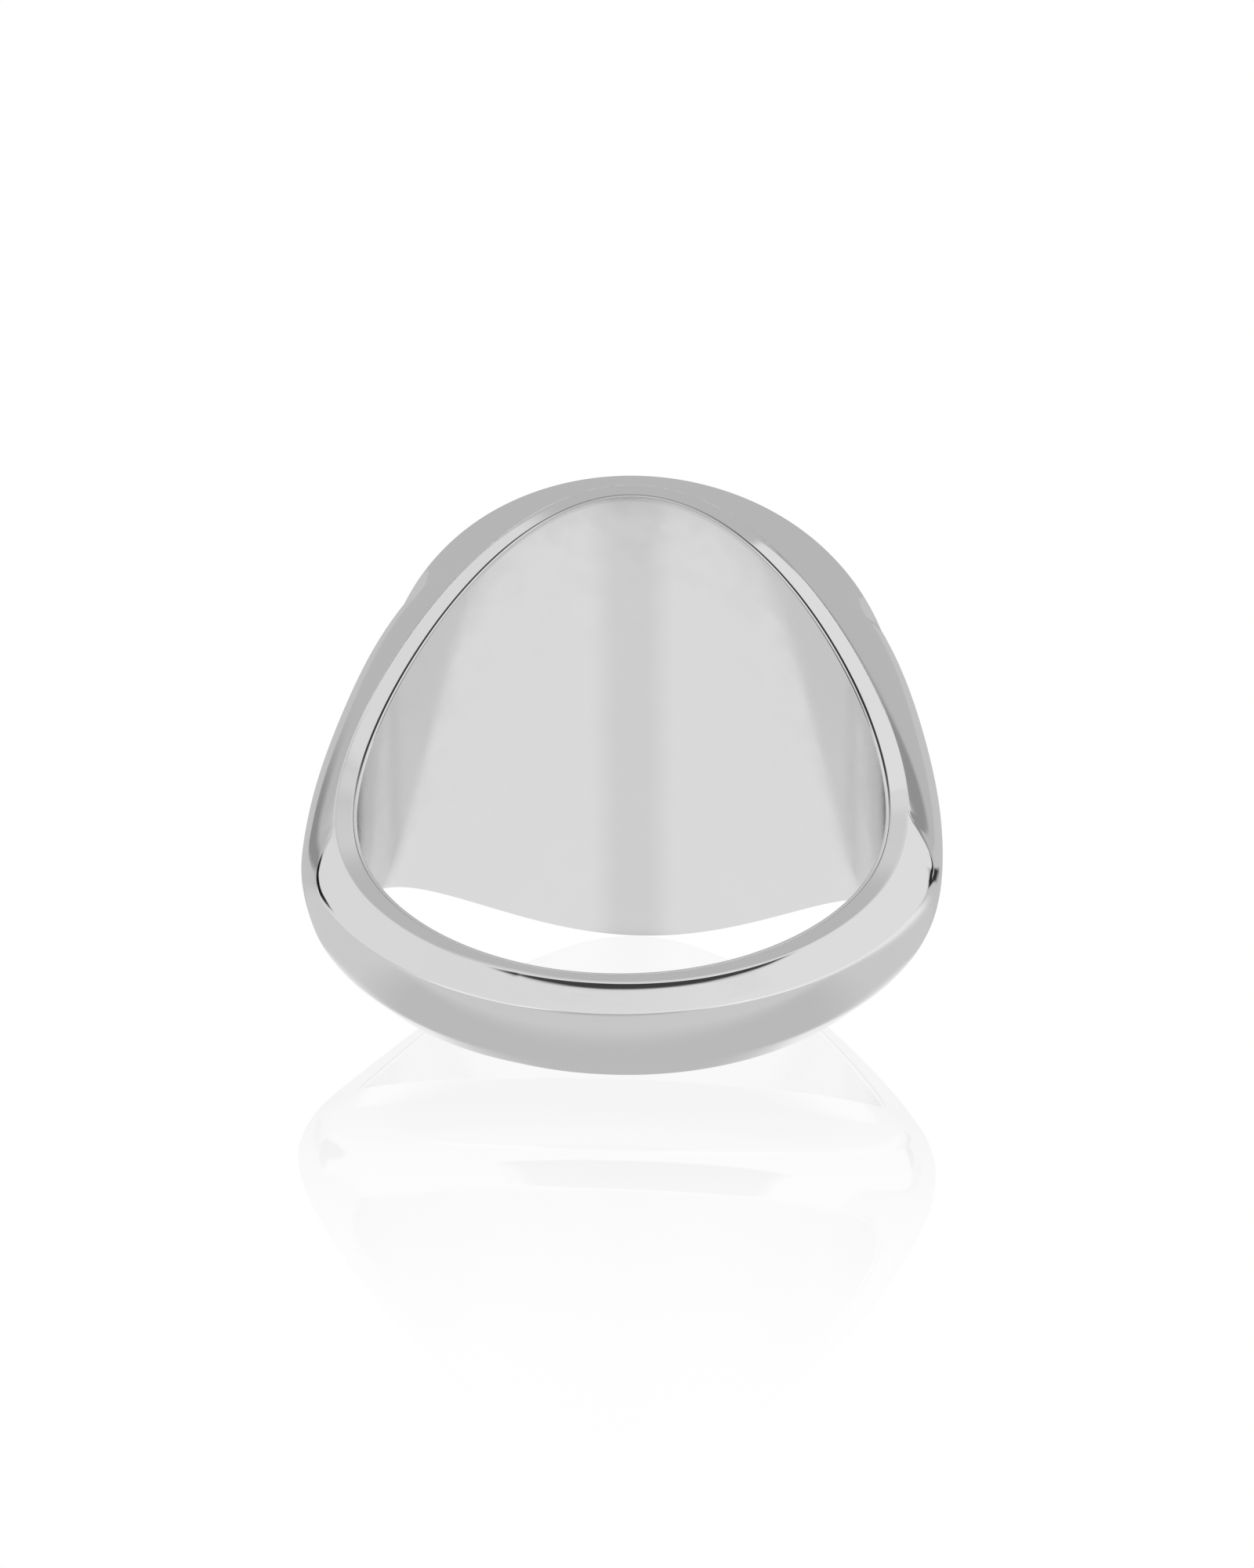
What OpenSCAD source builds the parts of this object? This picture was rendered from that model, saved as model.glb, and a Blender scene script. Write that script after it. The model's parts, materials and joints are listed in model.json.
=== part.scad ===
// Round-topped signet ring in polished silver, closed behind the head.
// The ring lies on its side: the head's lower rim and the shank touch z = 0.
// Units are millimetres. +Y runs from the shank to the head, +Z is up.

/* [Finger hole] */
// Inside diameter of the ring
finger_bore_d = 19; // [14:0.1:24]
// Wall of the lining sleeve
sleeve_t = 0.2; // [0.15:0.05:0.8]

/* [Head] */
// Height of the flat table above the finger hole's centre line
table_height = 12; // [10.8:0.1:14]
// Diameter of the round table
table_d = 18.2; // [12:0.1:19]
// Thickness of the table plate
table_t = 1.1; // [0.6:0.1:2]
// Length of the head along the finger, measured at the lining
head_len = 19.4; // [14:0.1:22]
// Least thickness of the head's wall at the table
head_wall_t = 1.7; // [1:0.1:3]

/* [Shoulders and shank] */
// Overall width across the shoulders
outer_width = 23.1; // [21:0.1:27]
// Width of the shank along the finger
shank_len = 4; // [2.5:0.1:7]
// Thickness of the shank opposite the head
shank_t = 1.45; // [1.2:0.05:3]
// Radial width of the flat edge band round both sides
edge_band = 0.8; // [0.5:0.05:1.2]
// Half-width of the shank's outer face between its facets
crown_half = 1.1; // [0.6:0.05:2]
// Rise of the shank's outer face above its facets
crown_rise = 0.2; // [0.1:0.05:0.6]
// How fast the side profile opens out towards the head
flare_power = 3; // [2:0.1:4]

/* [Joints between the pieces] */
// Angle from the head's middle to the head and shoulder joint
head_joint = 52; // [50:1:58]
// Angle from the head's middle to the shoulder and shank joint
shank_joint = 92; // [92:1:96]
// Gap left for solder between neighbouring pieces
solder_gap = 0.01; // [0.005:0.005:0.05]

/* [Hidden] */
$fn = 96;
silver = [0.86, 0.86, 0.87];
lining = [0.80, 0.80, 0.82];
bore_r = finger_bore_d / 2;
sleeve_r = bore_r + sleeve_t;
table_r = table_d / 2;
head_half = head_len / 2;
shank_half = shank_len / 2;
band_r = bore_r + edge_band;
flare_start = -0.6 * bore_r;
plate_z = table_height - table_t;
table_angle = atan(table_r / table_height);
facet_start = shank_joint - 0.3;
facet_run = 13;
// The tilt that brings the head's lower rim and the shank down to the same level.
rest_tilt = atan((head_half - shank_half) / (bore_r + band_r));
rest_lift = head_half * cos(rest_tilt) - bore_r * sin(rest_tilt);
// The head and the shank are moved along Y so that the box is centred on the origin.
front_y = -(bore_r + shank_t - crown_rise) * cos(rest_tilt) - crown_half * sin(rest_tilt);
back_y = table_height * cos(rest_tilt) + table_r * sin(rest_tilt);
rest_shift = -(front_y + back_y) / 2;

// Half-length along the finger at height h above the hole's centre line.
function side_half(h) = h <= flare_start ? shank_half
    : shank_half + (head_half - shank_half)
        * pow((h - flare_start) / (bore_r - flare_start), flare_power);

// Half-width of the ring, seen along the finger, at height h above the centre line.
function outline_x(h) =
    outer_width / 2 - (outer_width / 2 - table_r) * pow(h / table_height, 2);

// Distance from the centre line to that outline in direction a, by bisection.
function shoulder_r(a, lo, hi, n = 24) =
    let (mid = (lo + hi) / 2)
    n == 0 ? mid
    : mid * sin(a) < outline_x(mid * cos(a)) ? shoulder_r(a, mid, hi, n - 1)
    : shoulder_r(a, lo, mid, n - 1);

// Outer radius of the ring on its middle plane, at angle a from the head.
function crest_r(a) = a <= 90 ? shoulder_r(a, bore_r, 2 * bore_r)
    : outer_width / 2 + (bore_r + shank_t - outer_width / 2) * pow(sin(a - 90), 1.5);

// Share of the half-length at which the table's round rim lies at angle a.
function rim_share(a) = a >= table_angle ? 0
    : sqrt(pow(table_r, 2) - pow(table_height * tan(a), 2)) / side_half(bore_r * cos(a));

// Height of the dome above the edge band at angle a. Over the table the dome is
// steep enough to pass through the table's rim, and it is cut off flat there.
function dome_h(a) = a >= table_angle ? crest_r(a) - band_r
    : (table_height / cos(a) - band_r) / (1 - pow(rim_share(a), 2));

// How far the shank's facets have opened out, 0 at the shoulder to 1.
function facet_open(a) =
    a <= facet_start ? 0 : sin(90 * min(1, (a - facet_start) / facet_run));

function on_ring(a, r, w) = [r * sin(a), r * cos(a), w];

// Half of one cross-section, from the lining out to the crest, at signed angle a.
function half_section(a, side, facets) =
    let (u = abs(a), f = side_half(bore_r * cos(u)), g = facets ? facet_open(u) : 0,
         top = band_r + dome_h(u),
         start_w = f + (crown_half - f) * g,
         start_r = band_r + (top - crown_rise - band_r) * g,
         knee = max(0.4, rim_share(u)))
    concat([on_ring(a, inner_r, side * f), on_ring(a, band_r, side * f)],
        facets ? [on_ring(a, start_r, side * start_w)] : [],
        [for (v = concat([for (i = [1 : 4]) 1 - (1 - knee) * i / 4],
                [for (i = [1 : 3]) knee * (1 - i / 3)]))
            on_ring(a, start_r + (top - start_r) * (1 - v * v), side * start_w * v)]);

inner_r = (sleeve_r + solder_gap) / cos(2);

function section(a, facets) =
    let (up = half_section(a, 1, facets), down = half_section(a, -1, facets))
    concat(up, [for (i = [len(down) - 2 : -1 : 0]) down[i]]);

// A solid swept through cross-sections at the given angles.
module swept(angles, facets) {
    rings = [for (a = angles) section(a, facets)];
    n = len(rings[0]);
    m = len(rings);
    polyhedron(points = [for (ring = rings, p = ring) p],
        faces = concat([[for (i = [n - 1 : -1 : 0]) i]],
            [[for (i = [0 : n - 1]) (m - 1) * n + i]],
            [for (j = [0 : m - 2], i = [0 : n - 1], t = [0, 1])
                let (p = j * n + i, q = j * n + (i + 1) % n)
                t == 0 ? [p, q, q + n] : [p, q + n, p + n]]));
}

module resting() {
    translate([0, rest_shift, rest_lift]) rotate([rest_tilt, 0, 0]) children();
}

function span(from, to, steps) = [for (i = [0 : steps]) from + (to - from) * i / steps];

// Angles across the head out to the given end, with one exactly at each tip of the table.
function head_angles(end) = concat(
    [for (i = [0 : 5]) -end + (end - table_angle) * i / 6],
    span(-table_angle, table_angle, 30),
    [for (i = [1 : 6]) table_angle + (end - table_angle) * i / 6]);

// Lining seen through the finger hole. It closes the back of the hollow head.
module finger_sleeve() {
    steps = 120;
    inside = bore_r - 1;
    outside = sleeve_r + 1;
    points = [for (i = [0 : steps - 1])
        let (a = 360 * i / steps, f = side_half(bore_r * cos(a)))
        each [on_ring(a, inside, f), on_ring(a, outside, f),
            on_ring(a, outside, -f), on_ring(a, inside, -f)]];
    faces = [for (i = [0 : steps - 1], k = [0 : 3], t = [0, 1])
        let (p = 4 * i + k, q = 4 * i + (k + 1) % 4, next = 4 * ((i + 1) % steps),
            pn = next + k, qn = next + (k + 1) % 4)
        t == 0 ? [p, q, qn] : [p, qn, pn]];
    color(lining) resting() intersection() {
        difference() {
            cylinder(r = sleeve_r, h = 4 * bore_r, center = true);
            cylinder(r = bore_r, h = 6 * bore_r, center = true);
        }
        polyhedron(points = points, faces = faces);
    }
}

module shank() {
    color(silver) resting()
        swept(span(shank_joint, 360 - shank_joint, 46), true);
}

module shoulder(side) {
    color(silver) resting() mirror([side < 0 ? 1 : 0, 0, 0])
        swept(span(head_joint, shank_joint - 0.05, 14), false);
}

module left_shoulder() {
    shoulder(-1);
}

module right_shoulder() {
    shoulder(1);
}

// Collar round the head, open inside between the lining and the table plate.
module head_wall() {
    color(silver) resting() difference() {
        swept(head_angles(head_joint - 0.05), false);
        translate([0, plate_z + 20, 0]) cube([60, 40, 60], center = true);
        rotate([-90, 0, 0]) cylinder(r = table_r - head_wall_t, h = 3 * bore_r);
    }
}

// Flat round table. Its edge carries on the slope of the head's wall.
module table_plate() {
    color(silver) resting() intersection() {
        swept(head_angles(head_joint - 0.05), false);
        translate([0, plate_z + table_t / 2, 0]) cube([60, table_t, 60], center = true);
    }
}

finger_sleeve();
shank();
left_shoulder();
right_shoulder();
head_wall();
table_plate();
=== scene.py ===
# Signet ring in polished silver, lying on its side on a glossy white base.
# Lengths are millimetres in the ring's own frame until a mesh is made, which is in metres.
import json
import math

import bpy
import numpy as np
from mathutils import Matrix, Vector


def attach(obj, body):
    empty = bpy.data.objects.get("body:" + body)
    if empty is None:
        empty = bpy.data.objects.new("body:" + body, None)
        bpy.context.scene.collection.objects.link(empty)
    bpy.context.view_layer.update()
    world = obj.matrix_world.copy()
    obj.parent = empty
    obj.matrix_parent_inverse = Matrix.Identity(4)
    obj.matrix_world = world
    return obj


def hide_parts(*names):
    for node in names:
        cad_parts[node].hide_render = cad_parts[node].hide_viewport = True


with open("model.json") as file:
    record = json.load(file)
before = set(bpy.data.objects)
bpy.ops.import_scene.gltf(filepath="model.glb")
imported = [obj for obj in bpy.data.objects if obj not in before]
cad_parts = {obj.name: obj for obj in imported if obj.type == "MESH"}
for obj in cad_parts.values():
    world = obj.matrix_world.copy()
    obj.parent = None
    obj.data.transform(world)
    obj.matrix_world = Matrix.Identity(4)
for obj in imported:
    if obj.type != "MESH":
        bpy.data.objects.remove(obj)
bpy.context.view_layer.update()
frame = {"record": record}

MM = 0.001

# ---------------------------------------------------------------- the ring's frame
# x runs across the ring, h from the finger hole's centre to the table, w along the finger.
mounts = {mount["name"]: mount for mount in frame["record"]["mounts"]}
hole, table_face = mounts["finger_hole"], mounts["table_face"]
HOLE_CENTRE = np.array(hole["pos_m"])
W_AXIS = np.array(hole["axis"])
H_AXIS = np.array(table_face["axis"])
X_AXIS = np.cross(H_AXIS, W_AXIS)

# ---------------------------------------------------------------- sizes
BORE_R = hole["dims"]["r_mm"]
TABLE_HEIGHT = float(np.dot(np.array(table_face["pos_m"]) - HOLE_CENTRE, H_AXIS)) / MM
# Half-sizes of the table across the ring and along the finger.
TABLE_X, TABLE_W = 9.17, 9.02
TABLE_T = 1.1
SLEEVE_T = 0.14
HEAD_HALF = 9.7
SHANK_HALF = 2.0
SHANK_T = 1.45
OUTER_HALF = 11.55
EDGE_BAND = 0.8
CROWN_HALF = 1.1
CROWN_RISE = 0.2
HEAD_WALL_T = 1.7
GROOVE_DEPTH = 0.12
# Powers of the side profile, of the left and right flank, and of the drop from flank to shank.
FLARE_POWER = 3.0
FLANK_POWER = 2.1, 2.05
DROP_POWER = 1.9

# Angles from the head's middle: the joints, and where each facet starts and is fully open.
HEAD_JOINT = math.radians(52)
SHANK_JOINT = math.radians(92)
LEFT_FACET = math.radians(94), math.radians(111)
RIGHT_FACET = math.radians(87), math.radians(97)

SLEEVE_R = BORE_R + SLEEVE_T
BAND_R = BORE_R + EDGE_BAND
PLATE_Z = TABLE_HEIGHT - TABLE_T
FLARE_START = -0.6 * BORE_R
TABLE_ANGLE = math.atan2(TABLE_X, TABLE_HEIGHT)
WINDOW_R = TABLE_W - HEAD_WALL_T
WINDOW_ANGLE = math.atan2(WINDOW_R, PLATE_Z)
WINDOW_END = math.asin(WINDOW_R / SLEEVE_R)

# Distances over which a polished edge turns: the lip's, the band's and the crown's at angles
# from the head, and the table's rim.
LIP_SOFT = 0.05
BAND_SOFT = 0.10
BAND_SOFT_AT = np.radians([20, 50, 75, 90, 140, 160, 180])
BAND_SOFT_BY = [0.35, 0.30, 0.10, 0.05, 0.08, 0.22, 0.26]
CROWN_SOFT_AT = np.radians([90, 104, 125])
CROWN_SOFT_BY = [0.5, 0.5, 0.28]
RIM_SOFT = 0.30

# The dome's section is a parabola, fuller beside the table. Its height is averaged over
# an angle round the table's tip.
DOME_POWER = 2.0
DOME_FULLER = 0.40
DOME_FULLEST_AT, DOME_FULLER_OVER = math.radians(44), math.radians(13)
DOME_BLEND = 0.06

# Radial width of the edge band, narrower at the shank, at signed angles from the head.
EDGE_AT = np.radians([-180, -162, -145, -120, 120, 145, 162, 180])
EDGE_BY = [0.66, 0.60, 0.72, 0.80, 0.80, 0.78, 0.74, 0.66]

# Mesh points along the groove, the band, the facet's edge and the crown, then up the
# plate's side, over its rim and across its face.
LOW_POINTS = 4, 14, 14, 48
HIGH_POINTS = 4, 14, 7
# Points along the lining's outer face, its rim and its bore, to the middle.
LINING_POINTS = 5, 12, 14
# Samples along a crown, an outline and a lining before the mesh points are picked, and of
# the dome's height near the table's tip.
CROWN_SAMPLES, OUTLINE_SAMPLES, LINING_SAMPLES, TIP_SAMPLES = 500, 1600, 1200, 1201
BISECTIONS = 50
# Sections nearer than this to one of the exact angles are left out, and angles closer
# than the last figure are the same.
LEAST_GAP, SAME = 0.0006, 1e-9


# ---------------------------------------------------------------- camera
def make_camera():
    """A long lens a little above the base, at the palm side of the ring."""
    azimuth, elevation, roll = math.radians(2.88), math.radians(13.19), math.radians(0.93)
    back = Vector((math.sin(azimuth) * math.cos(elevation),
                   -math.cos(azimuth) * math.cos(elevation), math.sin(elevation)))
    look = (-back).to_track_quat("-Z", "Y") @ Matrix.Rotation(roll, 3, "Z").to_quaternion()
    right, up = look @ Vector((1, 0, 0)), look @ Vector((0, 1, 0))
    aim = Vector(HOLE_CENTRE) + right * 0.19 * MM + up * 2.97 * MM
    data = bpy.data.cameras.new("camera")
    data.lens = 332.7
    data.sensor_width = 36
    data.clip_start, data.clip_end = 0.01, 10
    camera = bpy.data.objects.new("camera", data)
    camera.rotation_mode = "QUATERNION"
    camera.rotation_quaternion = look
    camera.location = aim + back * 522 * MM
    bpy.context.scene.collection.objects.link(camera)
    bpy.context.scene.camera = camera


make_camera()


# ---------------------------------------------------------------- the ring's form
def side_half(h):
    """Half-length along the finger at height h above the hole's centre line."""
    share = np.clip((h - FLARE_START) / (BORE_R - FLARE_START), 0, None)
    return SHANK_HALF + (HEAD_HALF - SHANK_HALF) * share ** FLARE_POWER


def crest_r(signed):
    """Outer radius on the ring's middle plane, at a signed angle from the head."""
    angle, power = abs(signed), FLANK_POWER[0 if signed < 0 else 1]
    if angle > math.pi / 2:
        drop = math.sin(angle - math.pi / 2) ** DROP_POWER
        return OUTER_HALF + (BORE_R + SHANK_T - OUTER_HALF) * drop
    low, high = BORE_R, 2 * BORE_R
    for _ in range(BISECTIONS):
        middle = (low + high) / 2
        height = middle * math.cos(angle)
        outline = OUTER_HALF - (OUTER_HALF - TABLE_X) * (height / TABLE_HEIGHT) ** power
        if middle * math.sin(angle) < outline:
            low = middle
        else:
            high = middle
    return low


def smooth(share):
    """Eases a share in and out, and keeps it within 0 and 1."""
    share = min(1, max(0, share))
    return share * share * (3 - 2 * share)


def window(reach, count):
    """Offsets within a reach, and weights that fall to nothing at 1 and add up to 1."""
    steps = np.linspace(-reach, reach, count)
    weights = (1 - steps ** 2) ** 2
    return steps, weights / weights.sum()


def dome_power(angle):
    """Power of the dome's section, 2 for a parabola."""
    away = (angle - DOME_FULLEST_AT) / DOME_FULLER_OVER
    return DOME_POWER + DOME_FULLER * math.exp(-away ** 2)


def sharp_dome_h(signed):
    """Height of the dome above the edge band. Over the table it passes through the rim."""
    angle = abs(signed)
    if angle >= TABLE_ANGLE:
        return crest_r(signed) - BAND_R
    half = float(side_half(BORE_R * math.cos(angle)))
    rim = TABLE_W / half * math.sqrt(1 - (TABLE_HEIGHT * math.tan(angle) / TABLE_X) ** 2)
    return (TABLE_HEIGHT / math.cos(angle) - BAND_R) / (1 - rim ** dome_power(angle))


def near_tip(side):
    """Offsets from the table's tip and the sharp dome's heights there, on one side."""
    offsets = np.linspace(-3 * DOME_BLEND, 3 * DOME_BLEND, TIP_SAMPLES)
    return offsets, [sharp_dome_h(side * (TABLE_ANGLE + offset)) for offset in offsets]


NEAR_TIP = {side: near_tip(side) for side in (-1, 1)}


def dome_h(signed):
    """The same height, averaged round the table's tip, where the sharp one has a crease."""
    offset = abs(signed) - TABLE_ANGLE
    if abs(offset) > 2 * DOME_BLEND:
        return sharp_dome_h(signed)
    steps, weights = window(0.98, 241)
    heights = np.interp(offset + steps * DOME_BLEND, *NEAR_TIP[-1 if signed < 0 else 1])
    share = smooth(2 - abs(offset) / DOME_BLEND)
    return sharp_dome_h(signed) * (1 - share) + float(np.dot(weights, heights)) * share


def facet_open(angle):
    """How far the facets have opened out at a signed angle, 0 at the shoulder to 1."""
    start, full = RIGHT_FACET if angle > 0 else LEFT_FACET
    return smooth((abs(angle) - start) / (full - start))


def smooth_min(a, b, width):
    """The lower of two surfaces, rounded where they meet."""
    return np.minimum(a, b) - np.maximum(width - np.abs(a - b), 0) ** 2 / (4 * width)


def soften(knots_t, knots_soft, t, r, w, count):
    """Rounds a sharp outline by averaging each point's neighbourhood along it."""
    where = np.linspace(t[0], t[-1], count)
    reach = np.interp(where, knots_t, knots_soft)
    steps, weights = window(0.9, 13)
    soft_r, soft_w = np.zeros(count), np.zeros(count)
    for step, weight in zip(steps, weights):
        at = where + step * reach
        past = at > t[-1]
        mirrored = np.where(past, 2 * t[-1] - at, at)
        soft_r += weight * np.interp(mirrored, t, r)
        soft_w += weight * np.interp(mirrored, t, w) * np.where(past, -1, 1)
    return soft_r, soft_w


def along(r, w):
    """Distance along an outline."""
    return np.concatenate([[0], np.cumsum(np.hypot(np.diff(r), np.diff(w)))])


def spaced(a, b, count, ends=True):
    """Values from a to b, closer together near both ends."""
    share = (1 - np.cos(np.linspace(0, math.pi, count))) / 2
    values = a + (b - a) * share
    return values if ends else values[:-1]


def sharp_outline(signed):
    """Half of the body's section with sharp edges: radius and half-width, groove to crest."""
    angle, opened = abs(signed), facet_open(signed)
    half = float(side_half(BORE_R * math.cos(angle)))
    top = BAND_R + dome_h(signed)
    band_r = BORE_R + float(np.interp(signed, EDGE_AT, EDGE_BY))
    start_w = half + (CROWN_HALF - half) * opened
    start_r = band_r
    if angle > RIGHT_FACET[0]:
        bulge = math.log(CROWN_RISE / (top - band_r)) / math.log(CROWN_HALF / half)
        start_r = top - (top - band_r) * (start_w / half) ** bulge
    v = np.linspace(1, 0, CROWN_SAMPLES)
    crown = start_r + (top - start_r) * (1 - v ** dome_power(angle))
    r = np.concatenate([[SLEEVE_R, SLEEVE_R, band_r], crown])
    w = np.concatenate([[half - GROOVE_DEPTH, half, half], start_w * v])
    return r, w


def edge_softness(signed, t):
    """Distances along a body outline, and how far each edge is rounded there."""
    angle = abs(signed)
    band_soft = float(np.interp(angle, BAND_SOFT_AT, BAND_SOFT_BY))
    crown_soft = float(np.interp(angle, CROWN_SOFT_AT, CROWN_SOFT_BY))
    crown_soft = BAND_SOFT + (crown_soft - BAND_SOFT) * min(1, 6 * facet_open(signed))
    knots = [0, t[1], (t[1] + t[2]) / 2, t[2], t[3], t[-1]]
    return knots, [0, LIP_SOFT, LIP_SOFT, band_soft, crown_soft, crown_soft]


def body_outline(signed):
    """Half of the body's rounded section at a signed angle, as radius and half-width.
    Returns the points up to the plate's plane, and those above it or None."""
    angle = abs(signed)
    r, w = sharp_outline(signed)
    t = along(r, w)
    soft_r, soft_w = soften(*edge_softness(signed, t), t, r, w, OUTLINE_SAMPLES)
    fine = np.linspace(0, t[-1], OUTLINE_SAMPLES)
    capped = soft_r
    if angle < TABLE_ANGLE + 0.2:
        plane = TABLE_HEIGHT / math.cos(angle)
        capped = smooth_min(soft_r, plane, RIM_SOFT)
    end = t[-1]
    if angle < PLATE_ANGLE - SAME:
        end = float(np.interp(PLATE_Z / math.cos(angle), capped, fine))

    def points(at):
        return np.stack([np.interp(at, fine, capped), np.interp(at, fine, soft_w)], 1)

    groove, band, edge, crown = LOW_POINTS
    edge_end = max(t[3], t[2] + min(1.5 * BAND_SOFT, (end - t[2]) / 3))
    low = points(np.concatenate([spaced(0, t[1], groove, False), spaced(t[1], t[2], band, False),
                                 spaced(t[2], edge_end, edge, False),
                                 spaced(edge_end, end, crown)]))
    if angle > PLATE_ANGLE + SAME:
        return low, None
    side, rim, face = HIGH_POINTS
    rim_low = max(end, float(np.interp(plane - RIM_SOFT, soft_r, fine)))
    rim_high = max(end, float(np.interp(plane + RIM_SOFT, soft_r, fine)))
    widths = np.interp(rim_high, fine, soft_w) * np.linspace(1, 0, face)
    high = points(np.concatenate([np.linspace(end, rim_low, side)[:-1],
                                  np.linspace(rim_low, rim_high, rim)[:-1],
                                  np.interp(-widths, -soft_w, fine)]))
    return low, high


def plate_angle():
    """Angle at which the crest meets the plane between the plate and the collar."""
    low, high = TABLE_ANGLE, HEAD_JOINT
    for _ in range(BISECTIONS):
        middle = (low + high) / 2
        if crest_r(middle) * math.cos(middle) > PLATE_Z:
            low = middle
        else:
            high = middle
    return low


PLATE_ANGLE = plate_angle()


def stations():
    """Angles of the sections from 0 to a half turn, closer where the form changes fast."""
    stretches = [(0, TABLE_ANGLE - 0.07, 0.01), (TABLE_ANGLE - 0.07, TABLE_ANGLE + 0.03, 0.0025),
                 (TABLE_ANGLE + 0.03, RIGHT_FACET[0], 0.01), (RIGHT_FACET[0], LEFT_FACET[1], 0.005),
                 (LEFT_FACET[1], math.pi, 0.01)]
    exact = [WINDOW_ANGLE, WINDOW_END, TABLE_ANGLE, PLATE_ANGLE, HEAD_JOINT, SHANK_JOINT, math.pi]
    angles = list(exact)
    for start, end, step in stretches:
        for angle in np.arange(start, end - 0.3 * step, step):
            if min(abs(angle - e) for e in exact) > LEAST_GAP:
                angles.append(float(angle))
    return np.array(sorted(angles))


def placed(x, h, w):
    """Points of the ring's frame in the world, in metres."""
    x, h, w = np.broadcast_arrays(x, h, w)
    offset = x[..., None] * X_AXIS + h[..., None] * H_AXIS + w[..., None] * W_AXIS
    return HOLE_CENTRE + MM * offset


def on_ring(angle, r, w):
    return placed(r * np.sin(angle), r * np.cos(angle), w)


def quads(grid, flip=False):
    """The faces of a grid of points, as corner positions."""
    a, b, c, d = grid[:-1, :-1], grid[1:, :-1], grid[1:, 1:], grid[:-1, 1:]
    corners = [a, d, c, b] if flip else [a, b, c, d]
    return np.stack(corners, 2).reshape(-1, 4, 3)


def welded(faces):
    """Shared vertices for faces given as corner positions."""
    flat = np.concatenate([face.reshape(-1, 3) for face in faces])
    keys = np.round(flat / (1e-4 * MM)).astype(np.int64)
    _, first, index = np.unique(keys, axis=0, return_index=True, return_inverse=True)
    return flat[first], index.ravel()


def skin_normals(faces):
    """Smooth corner normals for quads that form one skin."""
    points, index = welded([faces])
    across = np.cross(faces[:, 2] - faces[:, 0], faces[:, 3] - faces[:, 1])
    normals = np.zeros_like(points)
    np.add.at(normals, index, np.repeat(across, 4, axis=0))
    normals /= np.maximum(np.linalg.norm(normals, axis=1, keepdims=True), 1e-30)
    return normals[index].reshape(-1, 4, 3)


def make_piece(name, node, skin, normals, inner, material):
    """A closed mesh: the polished skin with given normals, and flat inner faces."""
    faces = list(skin) + [np.asarray(face) for face in inner]
    points, index = welded(faces)
    polygons, corner_normals, start = [], [], 0
    for i, face in enumerate(faces):
        ids = index[start:start + len(face)]
        start += len(face)
        keep = [k for k in range(len(ids)) if ids[k] != ids[k - 1]]
        if len(keep) < 3 or len(set(ids[keep])) < len(keep):
            continue
        polygons.append([int(ids[k]) for k in keep])
        if i < len(skin):
            corner_normals += [tuple(normals[i][k]) for k in keep]
        else:
            corner_normals += [(0, 0, 0)] * len(keep)
    mesh = bpy.data.meshes.new(name)
    mesh.from_pydata(points.tolist(), [], polygons)
    mesh.polygons.foreach_set("use_smooth", [True] * len(mesh.polygons))
    mesh.update()
    flat_normals = [tuple(mesh.polygons[p].normal) for p in range(len(mesh.polygons))]
    filled, corner = [], 0
    for p, polygon in enumerate(polygons):
        for _ in polygon:
            given = corner_normals[corner]
            filled.append(given if given != (0, 0, 0) else flat_normals[p])
            corner += 1
    mesh.normals_split_custom_set(filled)
    mesh.materials.append(material)
    piece = bpy.data.objects.new(name, mesh)
    bpy.context.scene.collection.objects.link(piece)
    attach(piece, "root")
    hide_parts(node)


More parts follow.
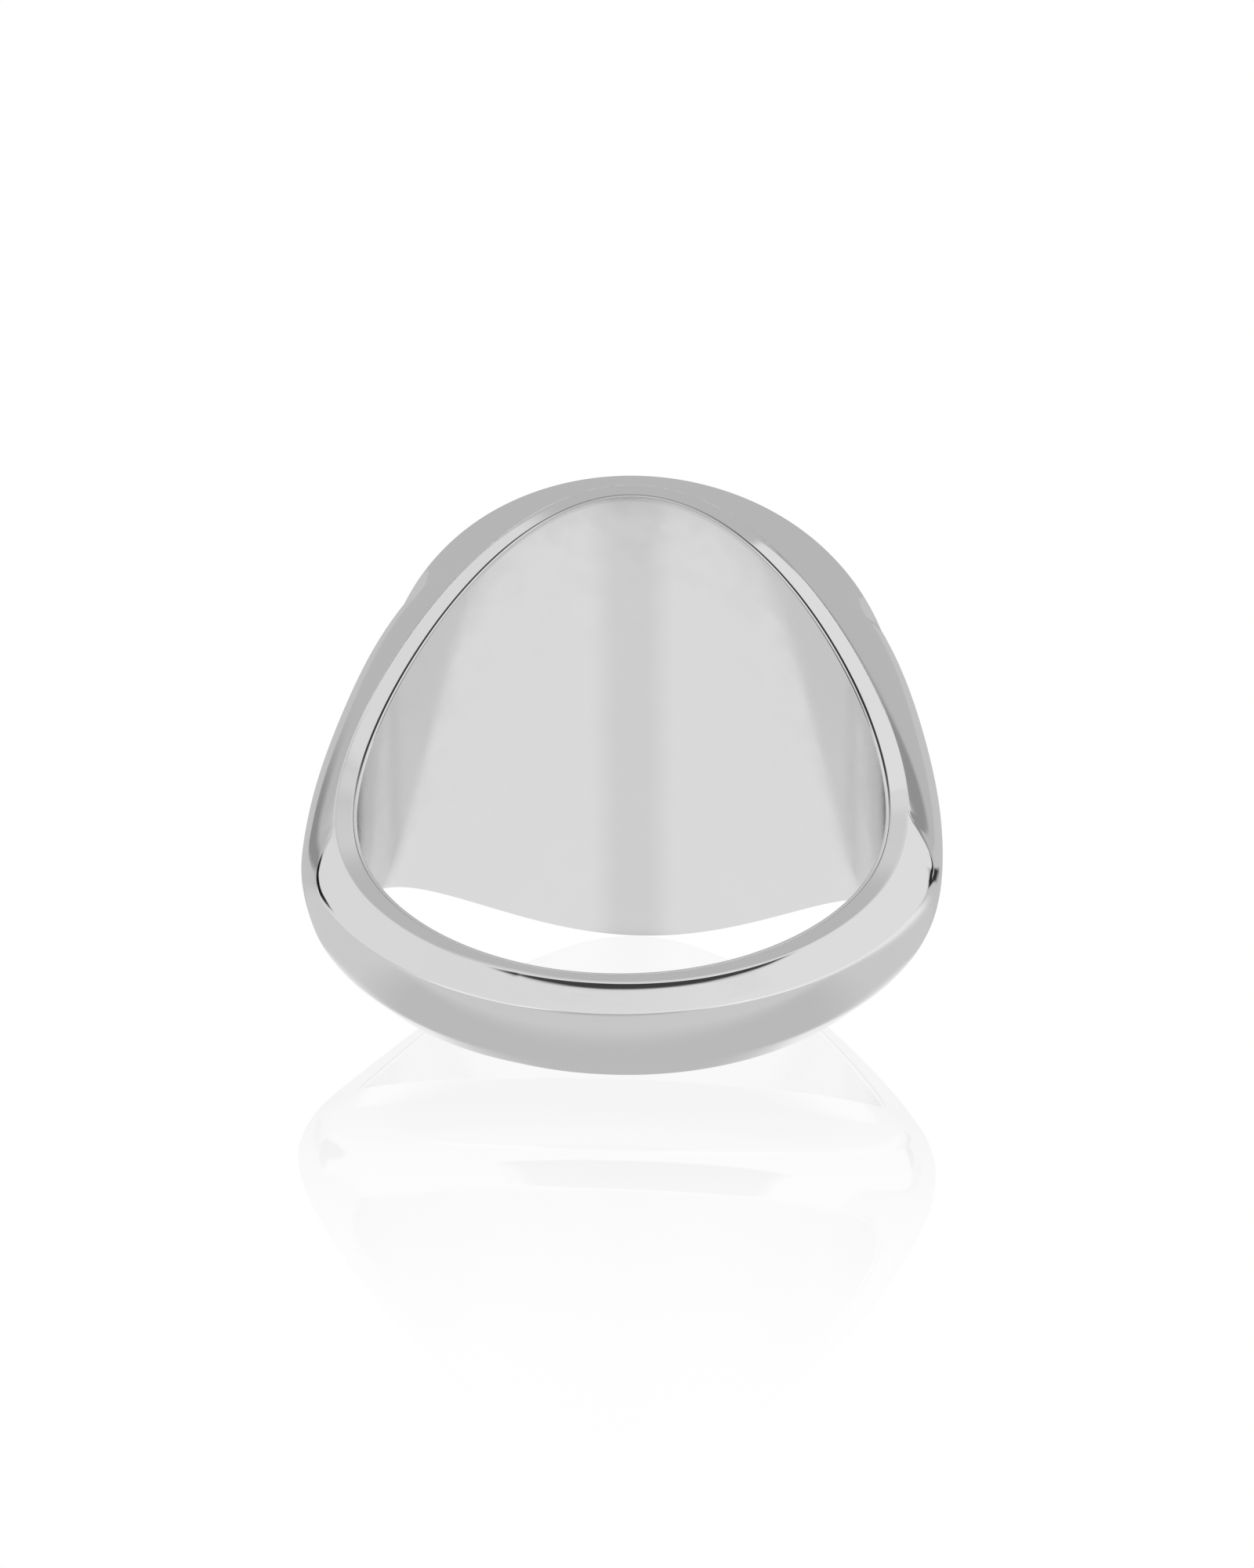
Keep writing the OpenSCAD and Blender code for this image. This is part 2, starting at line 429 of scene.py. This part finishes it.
# ---------------------------------------------------------------- materials
class Nodes:
    """Shader nodes written as arithmetic. A value is a number or another node's output."""

    def __init__(self, tree):
        self.nodes, self.links = tree.nodes, tree.links

    def put(self, value, socket):
        if isinstance(value, bpy.types.NodeSocket):
            self.links.new(value, socket)
        else:
            socket.default_value = value

    def calc(self, operation, *values):
        node = self.nodes.new("ShaderNodeMath")
        node.operation = operation
        for value, socket in zip(values, node.inputs):
            self.put(value, socket)
        return node.outputs[0]

    def step(self, value, start, end, low=0.0, high=1.0):
        """Goes smoothly from low to high while the value goes from start to end."""
        node = self.nodes.new("ShaderNodeMapRange")
        node.interpolation_type = "SMOOTHSTEP"
        names = ("Value", "From Min", "From Max", "To Min", "To Max")
        for name, part in zip(names, (value, start, end, low, high)):
            self.put(part, node.inputs[name])
        return node.outputs["Result"]

    def blend(self, low, high, share):
        return self.calc("MULTIPLY_ADD", self.calc("SUBTRACT", high, low), share, low)

    def length(self, u, v):
        return self.calc("SQRT", self.calc("ADD", self.calc("MULTIPLY", u, u),
                                           self.calc("MULTIPLY", v, v)))

    def parts(self, vector):
        node = self.nodes.new("ShaderNodeSeparateXYZ")
        self.links.new(vector, node.inputs[0])
        return node.outputs[0], node.outputs[1], node.outputs[2]

    def turn(self, x, y):
        """Degrees round from straight behind the ring, positive to the right."""
        return self.calc("DEGREES", self.calc("ARCTAN2", x, y))

    def oval(self, turn, rise, at, size, tilt, soft):
        """Share of a soft oval at a turn and rise, its half-sizes in degrees."""
        across = self.calc("WRAP", self.calc("SUBTRACT", turn, at[0]), 180.0, -180.0)
        up = self.calc("SUBTRACT", rise, at[1])
        c, s = math.cos(math.radians(tilt)), math.sin(math.radians(tilt))
        u = self.calc("ADD", self.calc("MULTIPLY", across, c), self.calc("MULTIPLY", up, s))
        v = self.calc("SUBTRACT", self.calc("MULTIPLY", up, c), self.calc("MULTIPLY", across, s))
        reach = self.length(self.calc("DIVIDE", u, size[0]), self.calc("DIVIDE", v, size[1]))
        return self.step(reach, 1 + soft, 1 - soft)


def silver(name, roughness, inside=None):
    """Polished silver with faint haze, fine polishing marks and a painted dark line of shade where
    the lining meets the body.
    Inside is how much the bore reflects, where it reflects less than the rest."""
    material = bpy.data.materials.new(name)
    material.use_nodes = True
    kit = Nodes(material.node_tree)
    shader = kit.nodes["Principled BSDF"]
    shader.inputs["Metallic"].default_value = 1.0
    place = kit.nodes.new("ShaderNodeTexCoord").outputs["Object"]

    def noise(scale, detail, at=place):
        node = kit.nodes.new("ShaderNodeTexNoise")
        node.inputs["Scale"].default_value = scale
        node.inputs["Detail"].default_value = detail
        kit.put(at, node.inputs["Vector"])
        return node.outputs["Fac"]

    def measure(axis, point=place, start=HOLE_CENTRE):
        """Millimetres along one of the ring's axes from the hole's centre."""
        node = kit.nodes.new("ShaderNodeVectorMath")
        node.operation = "DOT_PRODUCT"
        kit.put(point, node.inputs[0])
        kit.put(tuple(axis / MM), node.inputs[1])
        return kit.calc("SUBTRACT", node.outputs["Value"], float(np.dot(start, axis)) / MM)

    x, h, w = measure(X_AXIS), measure(H_AXIS), measure(W_AXIS)
    # Painted shade: a thin dark line in the base colour where the lining meets the body, standing in
    # for the groove's dark reflection. It is absent low on the shank and weaker under the head.
    from_seam = kit.calc("ABSOLUTE", kit.calc("SUBTRACT", kit.length(x, h), SLEEVE_R))
    painted_groove_shade = kit.calc("MULTIPLY", kit.step(from_seam, 0.055, 0.03),
                    kit.calc("MULTIPLY", kit.step(h, -0.5, 2.5), kit.step(h, 9.6, 8.2, 0.35, 1.0)))
    shade = kit.blend(0.93, 0.95, noise(350, 3))
    if inside is not None:
        # The bore faces inwards and its lip faces along the finger. A darker strip of painted shade
        # runs down it, standing in for the shadowed base it reflects under the ring.
        normal = kit.nodes.new("ShaderNodeNewGeometry").outputs["Normal"]
        bore = kit.step(kit.calc("ABSOLUTE", measure(W_AXIS * MM, normal, 0 * W_AXIS)), 0.6, 0.3)
        painted_shade_strip = kit.step(kit.calc("ABSOLUTE", kit.calc("ADD", x, 0.15)), 1.7, 0.4)
        lined = kit.calc("MULTIPLY", kit.blend(inside, inside * 0.88, painted_shade_strip),
                         kit.blend(0.985, 1.015, noise(250, 2)))
        shade = kit.blend(shade, lined, bore)
    shade = kit.blend(shade, 0.10, painted_groove_shade)
    colour = kit.nodes.new("ShaderNodeCombineColor")
    for socket in colour.inputs:
        kit.put(shade, socket)
    kit.put(colour.outputs[0], shader.inputs["Base Color"])

    # Fine polishing marks run round the ring; the odd deeper one and the worn spots are less glossy.
    around = kit.nodes.new("ShaderNodeCombineXYZ")
    kit.put(kit.calc("MULTIPLY", kit.turn(x, h), 0.12), around.inputs[0])
    kit.put(kit.calc("MULTIPLY", kit.length(x, h), 6.0), around.inputs[1])
    kit.put(kit.calc("MULTIPLY", w, 6.0), around.inputs[2])
    marks = noise(1.0, 3, around.outputs[0])
    haze = kit.step(noise(900, 4), 0.3, 0.7, roughness * 0.7, roughness * 1.3)
    worn = kit.calc("MULTIPLY", kit.step(noise(180, 2), 0.52, 0.68), 0.02)
    scratched = kit.calc("MULTIPLY", kit.step(marks, 0.62, 0.72), 0.03)
    kit.put(kit.calc("ADD", haze, kit.calc("ADD", worn, scratched)), shader.inputs["Roughness"])
    relief = kit.nodes.new("ShaderNodeBump")
    relief.inputs["Strength"].default_value = 0.5
    relief.inputs["Distance"].default_value = 0.0004 * MM
    kit.put(marks, relief.inputs["Height"])
    kit.put(relief.outputs[0], shader.inputs["Normal"])
    return material


POLISHED = silver("polished_silver", 0.06)
LINING = silver("lining_silver", 0.15, 0.80)
TABLE = silver("table_silver", 0.05)


# ---------------------------------------------------------------- body pieces
def body_grids(angles):
    """Signed angles over the whole ring with, for each, the low and high outlines."""
    signed = np.concatenate([-angles[::-1], angles[1:]])
    return signed, [body_outline(a) for a in signed]


ANGLES, OUTLINES = body_grids(stations())


def strip(start, end, side, part):
    """Grid of skin points between two angles on one side, part 0 low or 1 high."""
    rows = [i for i, a in enumerate(ANGLES) if start - SAME <= a <= end + SAME]
    rows = [i for i in rows if OUTLINES[i][part] is not None]
    return np.stack([on_ring(ANGLES[i], OUTLINES[i][part][:, 0], side * OUTLINES[i][part][:, 1])
                     for i in rows])


def skin(start, end, part=0):
    up, down = strip(start, end, 1, part), strip(start, end, -1, part)
    return np.concatenate([quads(up), quads(down, True)])


def edge_points(start, end, side, index):
    return strip(start, end, side, 0)[:, index]


def end_cap(angle, middle=False):
    """The flat end of a piece, as one polygon."""
    i = int(np.argmin(np.abs(ANGLES - angle)))
    low = OUTLINES[i][0]
    up = on_ring(ANGLES[i], low[:, 0], low[:, 1])
    down = on_ring(ANGLES[i], low[:, 0], -low[:, 1])
    points = list(up) + list(down[::-1][1:])
    if middle:
        points.append(on_ring(ANGLES[i], low[0, 0], 0.0))
    return points


def swept_piece(name, start, end):
    """A piece of the band between two angles, closed inside and at both ends."""
    low_up, low_down = edge_points(start, end, 1, 0), edge_points(start, end, -1, 0)
    inner = list(quads(np.stack([low_down, low_up], 1)))
    inner += [end_cap(start), end_cap(end)[::-1]]
    return name, skin(start, end), inner


def angles_within(limit):
    return [a for a in ANGLES if abs(a) <= limit + SAME]


def window_points(angle, radii):
    """Both edges of the round hollow inside the head, at an angle and several radii."""
    half = np.sqrt(np.maximum(0, WINDOW_R ** 2 - (radii * math.sin(angle)) ** 2))
    return on_ring(angle, radii, half), on_ring(angle, radii, -half)


def head_wall():
    """The collar below the table, with its hollow between lining and plate."""
    bottom, wall, roof = [], [], []
    for a in angles_within(HEAD_JOINT):
        bottom.append(window_points(a, np.array([SLEEVE_R])))
    for a in angles_within(WINDOW_END):
        top = PLATE_Z / math.cos(a)
        if abs(a) > WINDOW_ANGLE:
            top = WINDOW_R / math.sin(abs(a))
        wall.append(window_points(a, np.linspace(SLEEVE_R, top, 8)))
    for a in angles_within(PLATE_ANGLE):
        roof.append(window_points(a, np.array([PLATE_Z / math.cos(a)])))
    inner = []
    for side in (0, 1):
        sign, flip = (1, False) if side == 0 else (-1, True)
        edge = edge_points(-HEAD_JOINT, HEAD_JOINT, sign, 0)
        cut = edge_points(-PLATE_ANGLE, PLATE_ANGLE, sign, -1)
        inner += list(quads(np.stack([[b[side][0] for b in bottom], edge], 1), flip))
        inner += list(quads(np.stack([cut, [r[side][0] for r in roof]], 1), flip))
        inner += list(quads(np.array([w[side][::-1] for w in wall]), flip))
    inner += [end_cap(-HEAD_JOINT, True), end_cap(HEAD_JOINT, True)[::-1]]
    return "head_wall", skin(-HEAD_JOINT, HEAD_JOINT), inner


def table_plate():
    up = strip(-PLATE_ANGLE, PLATE_ANGLE, 1, 1)[:, 0]
    down = strip(-PLATE_ANGLE, PLATE_ANGLE, -1, 1)[:, 0]
    return "table_plate", skin(-PLATE_ANGLE, PLATE_ANGLE, 1), list(quads(np.stack([down, up], 1)))


def shank():
    """The band from one shoulder joint round to the other, past the half turn."""
    up, down = [np.concatenate([strip(SHANK_JOINT, math.pi, side, 0),
                                strip(-math.pi, -SHANK_JOINT, side, 0)[1:]]) for side in (1, -1)]
    inner = list(quads(np.stack([down[:, 0], up[:, 0]], 1)))
    inner += [end_cap(SHANK_JOINT), end_cap(-SHANK_JOINT)[::-1]]
    return "shank", np.concatenate([quads(up), quads(down, True)]), inner


def build_body():
    """The five outer pieces. Their normals are worked out together, so no joint shows."""
    parts = [head_wall(), table_plate(), swept_piece("left_shoulder", -SHANK_JOINT, -HEAD_JOINT),
             swept_piece("right_shoulder", HEAD_JOINT, SHANK_JOINT), shank()]
    normals = skin_normals(np.concatenate([faces for _, faces, _ in parts]))
    start = 0
    for name, faces, inner in parts:
        slot, material = "polished_silver", POLISHED
        if name == "table_plate":
            slot, material = "table_silver", TABLE
        piece_normals = normals[start:start + len(faces)]
        make_piece("ring_" + name, name, faces, piece_normals, inner, material)
        start += len(faces)


def build_lining():
    """The thin sleeve in the finger hole, with a rounded lip on both sides."""
    outer, rim, bore = LINING_POINTS
    rows = []
    for a in ANGLES:
        half = float(side_half(BORE_R * math.cos(a)))
        r = np.array([SLEEVE_R, SLEEVE_R, BORE_R, BORE_R])
        w = np.array([half - 0.6, half, half, 0])
        t = along(r, w)
        soft_r, soft_w = soften(t, [0, 0.05, 0.07, 0.07], t, r, w, LINING_SAMPLES)
        fine = np.linspace(0, t[-1], LINING_SAMPLES)
        at = np.concatenate([spaced(0, t[1], outer, False), spaced(t[1], t[2], rim, False),
                             t[2] + (t[3] - t[2]) * np.linspace(0, 1, bore) ** 2])
        r, w = np.interp(at, fine, soft_r), np.interp(at, fine, soft_w)
        rows.append(on_ring(a, np.concatenate([r, r[-2::-1], [SLEEVE_R]]),
                            np.concatenate([w, -w[-2::-1], [w[0]]])))
    faces = quads(np.stack(rows), True)
    make_piece("ring_lining", "finger_sleeve", faces, skin_normals(faces), [], LINING)


build_body()
build_lining()


# ---------------------------------------------------------------- studio
# Directions are degrees: turn from straight behind the ring, positive to the right, and rise
# above the base. Light levels of the tent: the grey card behind the ring, the tent above the
# card on its left and its right, and the tent's left, right and front.
CARD, ABOVE_LEFT, ABOVE_RIGHT = 0.487, 0.58, 0.70
LEFT, RIGHT, FRONT = 0.72, 0.76, 0.73

# Dark areas of the tent: light level, (turn, rise), half-sizes, tilt and softness.
AREAS = [
    (0.05, (168, 40), (50, 28), 0, 0.12),
    (0.29, (45, 26), (20, 4.5), 67, 0.2),
    (0.01, (44, 4.5), (7.5, 2.8), 75, 0.3),
    (0.28, (-38, 4), (13, 3.5), -30, 0.5),
    (0.01, (-60, 10), (11, 5), -10, 0.3),
    (0.01, (-53.5, 12), (4.5, 8), 0, 0.3),
]


def studio_light():
    """A pale tent. A grey card hangs behind the ring, with dark gaps beside and below it."""
    scene = bpy.context.scene
    scene.view_settings.view_transform = "Standard"
    world = bpy.data.worlds.new("studio")
    world.use_nodes = True
    world.cycles.sampling_method = "NONE"
    scene.world = world
    kit = Nodes(world.node_tree)
    x, y, z = kit.parts(kit.nodes.new("ShaderNodeTexCoord").outputs["Generated"])
    turn = kit.turn(x, y)
    rise = kit.calc("DEGREES", kit.calc("ARCSINE", z))

    above = kit.step(turn, -30, 20, ABOVE_LEFT, ABOVE_RIGHT)
    above = kit.blend(above, ABOVE_RIGHT, kit.step(rise, 78, 86))
    light = kit.blend(CARD, above, kit.step(rise, 57, 66))
    # The card's left and right edges: where they lie and how soft they are, by rise.
    left_edge, left_soft = kit.step(rise, 56, 64, -52, -105), kit.step(rise, 45, 60, 8, 13)
    left = kit.step(turn, kit.calc("ADD", left_edge, left_soft),
                    kit.calc("SUBTRACT", left_edge, left_soft))
    light = kit.blend(light, LEFT, left)
    right_edge, right_soft = kit.step(rise, 34, 50, 48, 65), kit.step(rise, 50, 66, 1.8, 14)
    past_edge = kit.calc("DIVIDE", kit.calc("SUBTRACT", turn, right_edge), right_soft)
    light = kit.blend(light, RIGHT, kit.step(past_edge, -1, 1))
    from_front = kit.calc("SUBTRACT", 180.0, kit.calc("ABSOLUTE", turn))
    light = kit.blend(light, FRONT, kit.step(from_front, 40, 5))
    for level, at, size, tilt, soft in AREAS:
        light = kit.blend(light, level, kit.oval(turn, rise, at, size, tilt, soft))

    # The camera sees pure white, and so does the base, whose mirrored rays are the singular ones.
    path = kit.nodes.new("ShaderNodeLightPath")
    light = kit.blend(light, 1.0, path.outputs["Is Camera Ray"])
    light = kit.blend(light, 1.0, path.outputs["Is Singular Ray"])
    kit.put((1, 1, 1, 1), kit.nodes["Background"].inputs["Color"])
    kit.put(light, kit.nodes["Background"].inputs["Strength"])


def base_glow(kit):
    """Painted light and shade on the glowing base, as the ring sees it, by direction and by distance
    in metres.
    """
    x, y, _ = kit.parts(kit.nodes.new("ShaderNodeTexCoord").outputs["Object"])
    turn, reach = kit.turn(x, y), kit.length(x, y)

    def patch(at_y, half_x, half_y):
        """Distance from a spot on the middle line, 1 on the edge of an oval patch round it."""
        along_y = kit.calc("SUBTRACT", y, at_y)
        return kit.length(kit.calc("DIVIDE", x, half_x), kit.calc("DIVIDE", along_y, half_y))

    # Painted light behind and beside the ring, paler to the right further out.
    right = kit.blend(0.60, 0.82, kit.step(reach, 0.025, 0.045))
    glow = kit.blend(0.55, right, kit.step(turn, 50, 65))
    glow = kit.blend(glow, 0.62, kit.step(turn, -50, -62))
    # In front a painted shadow keeps it grey near the shank, then painted light makes it brighter,
    # but not straight ahead.
    from_front = kit.calc("SUBTRACT", 180.0, kit.calc("ABSOLUTE", turn))
    near = kit.step(y, -0.0122, -0.0155, 0.515, 0.605)
    far = kit.blend(0.77, kit.step(from_front, 10, 22, 0.77, 0.93), kit.step(reach, 0.09, 0.06))
    before = kit.blend(near, far, kit.step(reach, 0.030, 0.045))
    glow = kit.blend(glow, before, kit.step(from_front, 70, 45))
    # A painted dark reflection of the camera, a painted bright patch of light under the ring, and a
    # painted dark patch on the base in line with the dark opening beside the card.
    glow = kit.blend(glow, 0.46, kit.step(patch(-0.036, 0.014, 0.012), 1.3, 0.6))
    glow = kit.blend(glow, 0.87, kit.step(patch(0.0005, 0.0130, 0.0103), 1.10, 0.90))
    painted_dark_patch = kit.calc("MULTIPLY", kit.oval(turn, 0.0, (41, 0), (4.5, 1), 0, 0.3),
                   kit.step(reach, 0.03, 0.05))
    return kit.blend(glow, 0.03, painted_dark_patch)


def base():
    """Glossy white base, pure white to the camera but for the ring's faint reflection."""
    size = 2.0
    corners = [(-size, -size, 0), (size, -size, 0), (size, size, 0), (-size, size, 0)]
    mesh = bpy.data.meshes.new("base")
    mesh.from_pydata(corners, [], [(0, 1, 2, 3)])
    floor = bpy.data.objects.new("base", mesh)
    bpy.context.scene.collection.objects.link(floor)
    material = bpy.data.materials.new("base")
    material.use_nodes = True
    mesh.materials.append(material)
    kit = Nodes(material.node_tree)
    kit.nodes.remove(kit.nodes["Principled BSDF"])

    # Seen from the ring the base glows, though it is no lamp; its painted light and shade stand in
    # for how the base is lit.
    glow = kit.nodes.new("ShaderNodeEmission")
    kit.put(base_glow(kit), glow.inputs["Strength"])
    white = kit.nodes.new("ShaderNodeEmission")
    gloss = kit.nodes.new("ShaderNodeBsdfGlossy")
    gloss.inputs["Roughness"].default_value = 0
    gloss.inputs["Color"].default_value = (1, 1, 1, 1)
    polished = kit.nodes.new("ShaderNodeMixShader")
    _, y, _ = kit.parts(kit.nodes.new("ShaderNodeTexCoord").outputs["Object"])
    # The reflection fades with the distance in front of the ring.
    gloss_share = 0.17
    fade = kit.calc("EXPONENT", kit.calc("DIVIDE", kit.calc("ADD", y, 0.015), 0.014))
    share = kit.calc("MINIMUM", kit.calc("MULTIPLY", fade, gloss_share), gloss_share)
    kit.put(share, polished.inputs[0])
    kit.put(white.outputs[0], polished.inputs[1])
    kit.put(gloss.outputs[0], polished.inputs[2])

    seen = kit.nodes.new("ShaderNodeMixShader")
    kit.put(kit.nodes.new("ShaderNodeLightPath").outputs["Is Camera Ray"], seen.inputs[0])
    kit.put(glow.outputs[0], seen.inputs[1])
    kit.put(polished.outputs[0], seen.inputs[2])
    kit.put(seen.outputs[0], kit.nodes["Material Output"].inputs["Surface"])


studio_light()
base()
